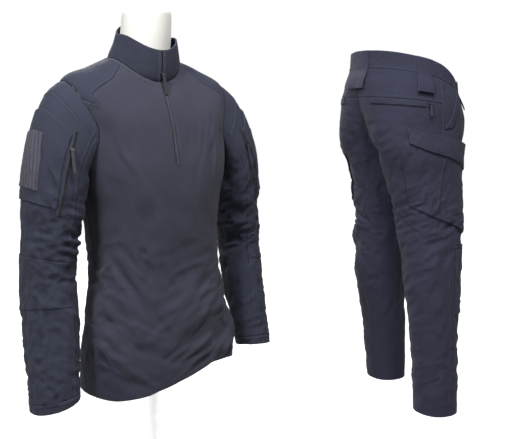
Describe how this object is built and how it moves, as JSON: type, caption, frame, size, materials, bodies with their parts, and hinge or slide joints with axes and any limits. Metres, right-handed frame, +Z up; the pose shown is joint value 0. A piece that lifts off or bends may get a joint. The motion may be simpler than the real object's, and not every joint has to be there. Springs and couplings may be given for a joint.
{
  "type": "training uniform on a torso form with a stand",
  "caption": "A quarter-zip training shirt on a torso form with its stand, beside matching cargo trousers that stand filled out with no wearer",
  "frame": {"origin": "the middle of the underside of the stand's base, on the floor", "axes": "+Z up; the shirt faces -Y; +X is the wearer's left; the trousers stand on the +X side"},
  "size_m": [1.3302, 0.4412, 1.0605],
  "materials": {
    "knit": "fine jersey, matt",
    "woven": "ripstop weave, matt",
    "trouser": "ripstop weave, matt",
    "loop": "loop pile in ribs, matt",
    "zip": "satin",
    "pull": "satin",
    "form": "smooth, matt",
    "metal": "brushed"
  },
  "bodies": {
    "uniform": {"back_welt_left": "trouser", "back_welt_right": "trouser", "back_yoke_left": "trouser", "back_yoke_right": "trouser", "back_zip_left_slider": "zip", "back_zip_right_slider": "zip", "belt_loop_back_left": "trouser", "belt_loop_back_right": "trouser", "belt_loop_centre": "trouser", "belt_loop_front_left": "trouser", "belt_loop_front_right": "trouser", "cargo_flap_left": "trouser", "cargo_flap_right": "trouser", "cargo_pocket_left": "trouser", "cargo_pocket_right": "trouser", "collar": "woven", "cuff_left": "woven", "cuff_right": "woven", "elbow_patch_left": "woven", "elbow_patch_right": "woven", "front_pocket_left": "trouser", "front_pocket_right": "trouser", "knee_patch_left": "trouser", "knee_patch_right": "trouser", "leg_back_left": "trouser", "leg_back_right": "trouser", "leg_front_left": "trouser", "leg_front_right": "trouser", "loop_panel_left": "loop", "loop_panel_right": "loop", "neck_zip_slider": "zip", "shirt_back": "knit", "shirt_front": "knit", "side_panel_left": "woven", "side_panel_right": "woven", "sleeve_cap_left": "woven", "sleeve_cap_right": "woven", "sleeve_pocket_left": "woven", "sleeve_pocket_right": "woven", "sleeve_top_left": "woven", "sleeve_top_right": "woven", "sleeve_under_left": "woven", "sleeve_under_right": "woven", "sleeve_zip_left_slider": "zip", "sleeve_zip_right_slider": "zip", "stand": "metal", "torso_form": "form", "waist_button": "zip", "waistband_back": "trouser", "waistband_elastic_left": "trouser", "waistband_elastic_right": "trouser", "waistband_front": "trouser", "yoke_left": "woven", "yoke_right": "woven", "zip_tape": "zip"},
    "neck_zip_pull": {"neck_zip_pull": "pull"},
    "sleeve_zip_right_pull": {"sleeve_zip_right_pull": "pull"},
    "sleeve_zip_left_pull": {"sleeve_zip_left_pull": "pull"},
    "back_zip_right_pull": {"back_zip_right_pull": "pull"},
    "back_zip_left_pull": {"back_zip_left_pull": "pull"}
  },
  "joints": [
    {"name": "neck_zip_pull_hinge", "type": "hinge", "parent": "uniform", "child": "neck_zip_pull", "pos_m": [0, -0.06785, 0.921], "axis": [-1, 0, 0], "range_deg": [0, 100]},
    {"name": "sleeve_zip_right_pull_hinge", "type": "hinge", "parent": "uniform", "child": "sleeve_zip_right_pull", "pos_m": [-0.21793, -0.07691, 0.76756], "axis": [-0.9691, 0.2467, 0], "range_deg": [0, 140]},
    {"name": "sleeve_zip_left_pull_hinge", "type": "hinge", "parent": "uniform", "child": "sleeve_zip_left_pull", "pos_m": [0.22317, -0.07551, 0.76581], "axis": [-0.9668, -0.2554, 0], "range_deg": [0, 140]},
    {"name": "back_zip_right_pull_hinge", "type": "hinge", "parent": "uniform", "child": "back_zip_right_pull", "pos_m": [0.78186, -0.16203, 0.857], "axis": [-0.9227, 0.3856, 0], "range_deg": [0, 140]},
    {"name": "back_zip_left_pull_hinge", "type": "hinge", "parent": "uniform", "child": "back_zip_left_pull", "pos_m": [0.86281, 0.18832, 0.85696], "axis": [0.9976, -0.0695, 0], "range_deg": [0, 140]}
  ]
}
